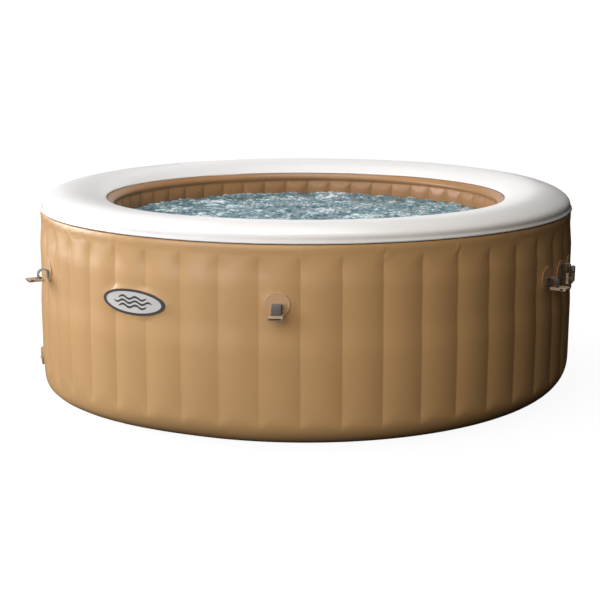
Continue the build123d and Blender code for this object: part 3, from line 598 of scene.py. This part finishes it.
def add_holes(outer, inner):
    drain_out = Vector(outward(DRAIN_AZIMUTH)) * math.cos(math.radians(DRAIN_TILT))
    drain_out.z = -math.sin(math.radians(DRAIN_TILT))
    drain_at = outward(DRAIN_AZIMUTH) * DRAIN_CENTRE[0] + Vector((0, 0, DRAIN_CENTRE[1]))
    valve_at = outward(VALVE_AZIMUTH) * WALL_R + Vector((0, 0, VALVE_Z))
    back = Vector((0, 1, 0))
    ports = [
        cutter(f"port_hole_{k}", Vector((x, 0, PORT_Z)), back, 0.0253, 0.62, 1.02)
        for k, x in enumerate((-PORT_X, PORT_X))
    ]
    outer_only = [
        cutter("air_hole", Vector((0, 0, AIR_Z)), back, 0.0223, 0.93, 1.02),
        cutter("valve_hole", valve_at, outward(VALVE_AZIMUTH), 0.0153, -0.03, 0.03),
        cutter("drain_hole", drain_at, drain_out, 0.0153, -0.03, 0.03),
    ]
    inner_only = [
        cutter("drain_hole_inside", drain_at, drain_out, 0.0133, -0.30, -0.24),
        cutter("feed_hole", Vector((0, 0, 0.025)), back, 0.0143, 0.69, 0.73),
    ]
    cut(outer, ports + outer_only)
    cut(inner, ports + inner_only)
    for tool in ports + outer_only + inner_only:
        bpy.data.objects.remove(tool)


# ---------------------------------------------------------------- webs inside the chamber
def make_webs():
    """Upright webs from the inner to the outer wall, one at each pair of welds."""
    heights = np.linspace(0.105, 0.585, 17)
    depth, _ = weld_strength(heights, WELD_FOOT_Z, 0.05)
    outer = WALL_R - WELD_DEPTH * depth - SKIN - 0.0030 - 0.0075 * smooth((heights - 0.48) / 0.10)
    verts, faces = [], []
    for k in range(CHANNELS):
        azimuth = PITCH * (k + 0.5)
        if abs(arc_gap(azimuth, 180)) < PITCH * 2 or abs(arc_gap(azimuth, DRAIN_AZIMUTH)) < PITCH:
            lowest = 3
        else:
            lowest = 0
        out, side = outward(azimuth), along(azimuth)
        first = len(verts)
        levels = list(zip(heights, outer))[lowest:]
        for z, reach in levels:
            for t in (-0.0005, 0.0005):
                verts.append(out * (INNER_R + SKIN + 0.0003) + side * t + Vector((0, 0, z)))
                verts.append(out * reach + side * t + Vector((0, 0, z)))
        for j in range(len(levels) - 1):
            a = first + 4 * j
            b = a + 4
            faces += [[a, a + 1, b + 1, b], [a + 2, b + 2, b + 3, a + 3]]
            faces += [[a, b, b + 2, a + 2], [a + 1, a + 3, b + 3, b + 1]]
        top = first + 4 * (len(levels) - 1)
        faces += [[first, first + 2, first + 3, first + 1], [top, top + 1, top + 3, top + 2]]
    webs = piece("chamber_webs", verts, faces, clear_web, smooth_shade=False)
    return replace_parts(webs, "tension_webs")


# ---------------------------------------------------------------- water
def wave_height(x, y):
    """Churned surface: a slow swell under short steep chop."""
    p = Vector((x, y, 0.0))
    swell = noise.noise(p * 7.0 + Vector((0, 0, 4.0)))
    chop = noise.noise(p * 24.0 + Vector((3.0, 0, 9.0)))
    crests = 1 - 2 * abs(noise.noise(p * 34.0 + Vector((0, 8.0, 2.0))))
    fine = 1 - 2 * abs(noise.noise(p * 70.0 + Vector((5.0, 1.0, 7.0))))
    return 0.006 * swell + 0.0060 * chop + 0.0045 * crests + 0.0020 * fine - 0.003


def disc_points(count):
    """Evenly spread grid over the unit disc, as azimuth in degrees and share of the radius."""
    line = np.linspace(-1, 1, count)
    a, b = np.meshgrid(line, line)
    share = np.maximum(np.abs(a), np.abs(b))
    wide = np.abs(a) >= np.abs(b)
    safe_a, safe_b = np.where(a == 0, 1, a), np.where(b == 0, 1, b)
    turn = np.where(wide, 45 * b / safe_a, 90 - 45 * a / safe_b)
    turn = np.where(np.where(wide, a < 0, b < 0), turn + 180, turn)
    return turn, share


def make_water():
    count = 290
    turn, share = disc_points(count)
    azimuths = (turn.reshape(-1) + 360) % 360
    edge = inner_radius(azimuths, np.array([[WATER_Z]]))[0] - 0.0012
    radius = share.reshape(-1) * edge
    a = np.radians(azimuths)
    x, y = radius * np.sin(a), -radius * np.cos(a)
    z = [WATER_Z + wave_height(px, py) for px, py in zip(x, y)]
    top = np.stack([x, y, z], 1)
    index = np.arange(count * count).reshape(count, count)
    loop = [*index[0, :-1], *index[:-1, -1], *index[-1, :0:-1], *index[:0:-1, 0]]
    lower = top[loop].copy()
    lower[:, 2] = WATER_Z - WATER_DEPTH
    grid = np.stack([index[:-1, :-1], index[:-1, 1:], index[1:, 1:], index[1:, :-1]], -1).reshape(-1, 4)
    faces = [list(map(int, quad)) for quad in grid]
    first = count * count
    size = len(loop)
    for k in range(size):
        after = (k + 1) % size
        faces.append([int(loop[after]), int(loop[k]), first + k, first + after])
    faces.append([first + k for k in reversed(range(size))])
    water = piece("bath_water", np.concatenate([top, lower]), faces, churned_water)
    correct_normals(water)
    return water


def correct_normals(obj):
    """Turn all faces of a closed mesh outwards."""
    work = bmesh.new()
    work.from_mesh(obj.data)
    bmesh.ops.recalc_face_normals(work, faces=work.faces)
    work.to_mesh(obj.data)
    work.free()


# ---------------------------------------------------------------- badge emblem
def on_wall(azimuth, z, x, y, height):
    """Point x along and y up the wall from a fitting's centre, height proud of it."""
    radius = WALL_R + height
    return outward(azimuth + math.degrees(x / WALL_R)) * radius + Vector((0, 0, z + y))


def make_emblem():
    """Three raised wave lines on the badge's face."""
    verts, faces = [], []
    steps = 60
    for level, length in ((0.0135, 0.058), (0.0, 0.078), (-0.0135, 0.058)):
        first = len(verts)
        for k in range(steps + 1):
            t = k / steps
            x = (2 * t - 1) * length
            y = level + 0.0042 * math.sin(2 * math.pi * x / 0.052)
            half = 0.0032 * math.sqrt(max(0.0, 1 - (2 * t - 1) ** 6)) + 0.0003
            for dy, height in ((-half, 0.0018), (-half, 0.0026), (half, 0.0026), (half, 0.0018)):
                verts.append(on_wall(BADGE_AZIMUTH, BADGE_Z, x, y + dy, height))
        for k in range(steps):
            a = first + 4 * k
            faces += [[a + j, a + 4 + j, a + 4 + (j + 1) % 4, a + (j + 1) % 4] for j in range(4)]
        last = first + 4 * steps
        faces += [[first + j for j in range(4)], [last + j for j in reversed(range(4))]]
    emblem = piece("badge_waves", verts, faces, badge_dark, smooth_shade=False)
    correct_normals(emblem)
    return emblem


# ---------------------------------------------------------------- buckle patches and webbing
def make_patch(number, azimuth):
    """Round welded patch with a pressed weld line near its rounded edge."""
    radii = np.array([0, 0.012, 0.022, 0.029, 0.0315, 0.0325, 0.034, 0.0355, 0.0375, 0.0390, 0.0398, PATCH_R])
    proud = np.array([1, 1, 1, 1, 0.97, 0.92, 0.92, 0.97, 1.0, 0.92, 0.70, 0.0]) * (PATCH_T - 0.0002)
    sides = 96
    verts = [on_wall(azimuth, PATCH_Z, 0, 0, proud[0])]
    for r, h in zip(radii[1:], proud[1:]):
        for k in range(sides):
            a = 2 * math.pi * k / sides
            verts.append(on_wall(azimuth, PATCH_Z, r * math.cos(a), r * math.sin(a), h))
    faces = [[0, 1 + k, 1 + (k + 1) % sides] for k in range(sides)]
    for ring in range(len(radii) - 2):
        a = 1 + ring * sides
        faces += [
            [a + k, a + sides + k, a + sides + (k + 1) % sides, a + (k + 1) % sides] for k in range(sides)
        ]
    last = 1 + (len(radii) - 2) * sides
    faces.append([last + k for k in reversed(range(sides))])
    patch = piece(f"buckle_patch_{number}", verts, faces, patch_pvc)
    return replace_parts(patch, "buckle_patches")


def arc_points(centre, radius, start, end, count):
    t = np.radians(np.linspace(start, end, count))
    return [(centre[0] + radius * math.cos(a), centre[1] + radius * math.sin(a)) for a in t]


def webbing_path(pose):
    """Middle line of one strap from its weld to the sewn tail, as (out, up) from the patch centre."""
    (hinge_u, hinge_v), (bar_u, bar_v) = pose["hinge"], pose["bar"]
    if pose["bend"]:
        bend, leg_u = pose["bend"], bar_u + EYE_R
        path = [(STRAP_FACE_U, v) for v in np.linspace(-STRAP_FOOT, hinge_v - ROOT_BEND_R, 8)[:-1]]
        path += arc_points((STRAP_FACE_U + ROOT_BEND_R, hinge_v - ROOT_BEND_R), ROOT_BEND_R, 180, 90, 9)
        path += arc_points((leg_u - bend, hinge_v - bend), bend, 90, 0, 14)
        path += [(leg_u, v) for v in np.linspace(hinge_v - bend, bar_v, 6)[1:]]
        path += arc_points((bar_u, bar_v), EYE_R, 0, -200, 15)[1:]
        tail = [(-2.4, 4.2), (-0.6, 6.6), (1.2, 9.0), (1.55, 12.0), (1.55, 16.0)]
        path += [(bar_u + u / 1000, bar_v + v / 1000) for u, v in tail]
    else:
        leg_u = bar_u - EYE_R
        path = [(STRAP_FACE_U, v) for v in np.linspace(STRAP_FOOT, hinge_v, 9)]
        path += [(hinge_u + (leg_u - hinge_u) * t, hinge_v + (bar_v - hinge_v) * t)
                 for t in np.linspace(0, 1, 9)[1:]]
        path += arc_points((bar_u, bar_v), EYE_R, 180, 375, 15)[1:]
        tail = [(2.6, 3.6), (0.8, 5.6), (-1.3, 8.0), (-3.0, 12.0), (-4.4, 16.0)]
        path += [(bar_u + u / 1000, bar_v + v / 1000) for u, v in tail]
    return path


def make_webbing(number, azimuth, pose):
    """One strap as a continuous woven strip with rounded selvedges."""
    path = webbing_path(pose)
    section = [(-0.5, 0.0), (-0.487, 0.34), (-0.46, 0.5), (0.0, 0.5), (0.46, 0.5), (0.487, 0.34)]
    section += [(-x, -t) for x, t in section]
    out, side = outward(azimuth), along(azimuth)
    centre = out * WALL_R + Vector((0, 0, PATCH_Z))
    verts, uvs, run = [], [], 0.0
    for k, (u, v) in enumerate(path):
        before, after = path[max(k - 1, 0)], path[min(k + 1, len(path) - 1)]
        du, dv = after[0] - before[0], after[1] - before[1]
        size = math.hypot(du, dv)
        if k:
            run += math.hypot(u - path[k - 1][0], v - path[k - 1][1])
        normal = out * (-dv / size) + Vector((0, 0, du / size))
        middle = centre + out * u + Vector((0, 0, v))
        for x, t in section:
            verts.append(middle + side * (x * STRAP_W) + normal * (t * STRAP_T))
            uvs.append((x * STRAP_W + (0.5 if t < 0 else 0.0), run))
    width = len(section)
    faces = []
    for k in range(len(path) - 1):
        a = width * k
        faces += [[a + j, a + (j + 1) % width, a + width + (j + 1) % width, a + width + j]
                  for j in range(width)]
    faces += [list(reversed(range(width))), [len(verts) - width + j for j in range(width)]]
    strip = piece(f"webbing_{number}", verts, faces, webbing_weave, body=None)
    layer = strip.data.uv_layers.new(name="metres")
    for loop in strip.data.loops:
        layer.data[loop.index].uv = uvs[loop.vertex_index]
    correct_normals(strip)
    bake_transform(strip)
    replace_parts(strip, f"strap_{number}", "strap_roots")
    return strip


# ---------------------------------------------------------------- build the pieces
outer_skin = make_outer_wall()
inner_skin = make_inner_wall()
add_holes(outer_skin, inner_skin)
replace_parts(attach(outer_skin, "tub"), "outer_wall", "outer_port_panels")
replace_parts(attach(inner_skin, "tub"), "inner_wall", "inner_port_panels")
make_rim()
make_webs()
make_water()
make_emblem()
for number, (azimuth, pose) in enumerate(BUCKLE_SETS, start=1):
    make_patch(number, azimuth)
    make_webbing(number, azimuth, pose)

# ---------------------------------------------------------------- stage, lights and camera
CAMERA_DISTANCE = 4.618
CAMERA_HEIGHT = 1.2528
CAMERA_AZIMUTH = 4.61
CAMERA_TILT = 12.084
AIM_LEFT = 0.2513  # the tub stands a little right of the middle of the picture
LENS = 74.56


def make_camera():
    data = bpy.data.cameras.new("camera")
    data.sensor_width = 36
    data.lens = LENS
    camera = bpy.data.objects.new("camera", data)
    bpy.context.scene.collection.objects.link(camera)
    camera.location = outward(CAMERA_AZIMUTH) * CAMERA_DISTANCE + Vector((0, 0, CAMERA_HEIGHT))
    turn = math.radians(CAMERA_AZIMUTH + AIM_LEFT)
    camera.rotation_euler = (math.radians(90 - CAMERA_TILT), 0, turn)
    bpy.context.scene.camera = camera


def softbox(name, azimuth, distance, height, size, power, colour=(1, 1, 1), aim_z=0.4):
    """Rectangular studio light that faces the tub."""
    data = bpy.data.lights.new(name, "AREA")
    data.shape = "RECTANGLE"
    data.size, data.size_y = size
    data.energy = power
    data.color = colour
    light = bpy.data.objects.new(name, data)
    bpy.context.scene.collection.objects.link(light)
    light.location = outward(azimuth) * distance + Vector((0, 0, height))
    aim = Vector((0, 0, aim_z)) - light.location
    light.rotation_euler = aim.to_track_quat("-Z", "Y").to_euler()
    return light


def make_dome(strength):
    """Even light from the whole sky."""
    data = bpy.data.lights.new("dome", "SUN")
    data.angle = math.pi
    data.energy = strength
    light = bpy.data.objects.new("dome", data)
    bpy.context.scene.collection.objects.link(light)


def make_floor():
    sides = 96
    verts = [(0, 0, -0.0006)]
    verts += [(30 * math.cos(2 * math.pi * k / sides), 30 * math.sin(2 * math.pi * k / sides), -0.0006)
              for k in range(sides)]
    faces = [[0, 1 + k, 1 + (k + 1) % sides] for k in range(sides)]
    material, links, shader = tree("pale_floor")
    shader.inputs["Base Color"].default_value = (0.10, 0.10, 0.10, 1)
    shader.inputs["Roughness"].default_value = 0.9
    shader.inputs["Specular IOR Level"].default_value = 0.0
    shader.inputs["Emission Color"].default_value = (1, 1, 1, 1)
    coords = links.nodes.new("ShaderNodeTexCoord").outputs["Object"]
    distance = links.nodes.new("ShaderNodeVectorMath")
    distance.operation = "LENGTH"
    links.links.new(coords, distance.inputs[0])
    glow = remap(links, distance.outputs["Value"], 0.9, 2.2, 0.93, 1.03)
    links.links.new(glow, shader.inputs["Emission Strength"])
    floor = piece("studio_floor", verts, faces, material, body=None)
    floor.visible_diffuse = False
    floor.visible_glossy = False


def make_world():
    """White to the camera only, so that the tub's far side can fall dark."""
    world = bpy.data.worlds.new("studio")
    bpy.context.scene.world = world
    world.use_nodes = True
    background = world.node_tree.nodes["Background"]
    background.inputs["Color"].default_value = (1, 1, 1, 1)
    background.inputs["Strength"].default_value = 1.03
    world.cycles_visibility.diffuse = False
    world.cycles_visibility.glossy = False
    world.cycles_visibility.transmission = False


make_camera()
make_world()
make_floor()
softbox("side_left", -95, 4.2, 1.6, (2.4, 2.4), 160, (1.0, 1.0, 1.04))
softbox("front_left", -35, 4.2, 1.6, (2.4, 2.4), 62, (0.93, 1.0, 1.12))
softbox("front", -5, 4.4, 2.2, (2.4, 2.4), 59, (1.08, 0.97, 0.80))
softbox("overhead", -60, 0.4, 3.6, (2.4, 2.4), 72)
softbox("behind", 180, 4.2, 1.8, (2.4, 2.0), 12)
make_dome(0.24)
bpy.context.scene.view_settings.view_transform = "Standard"
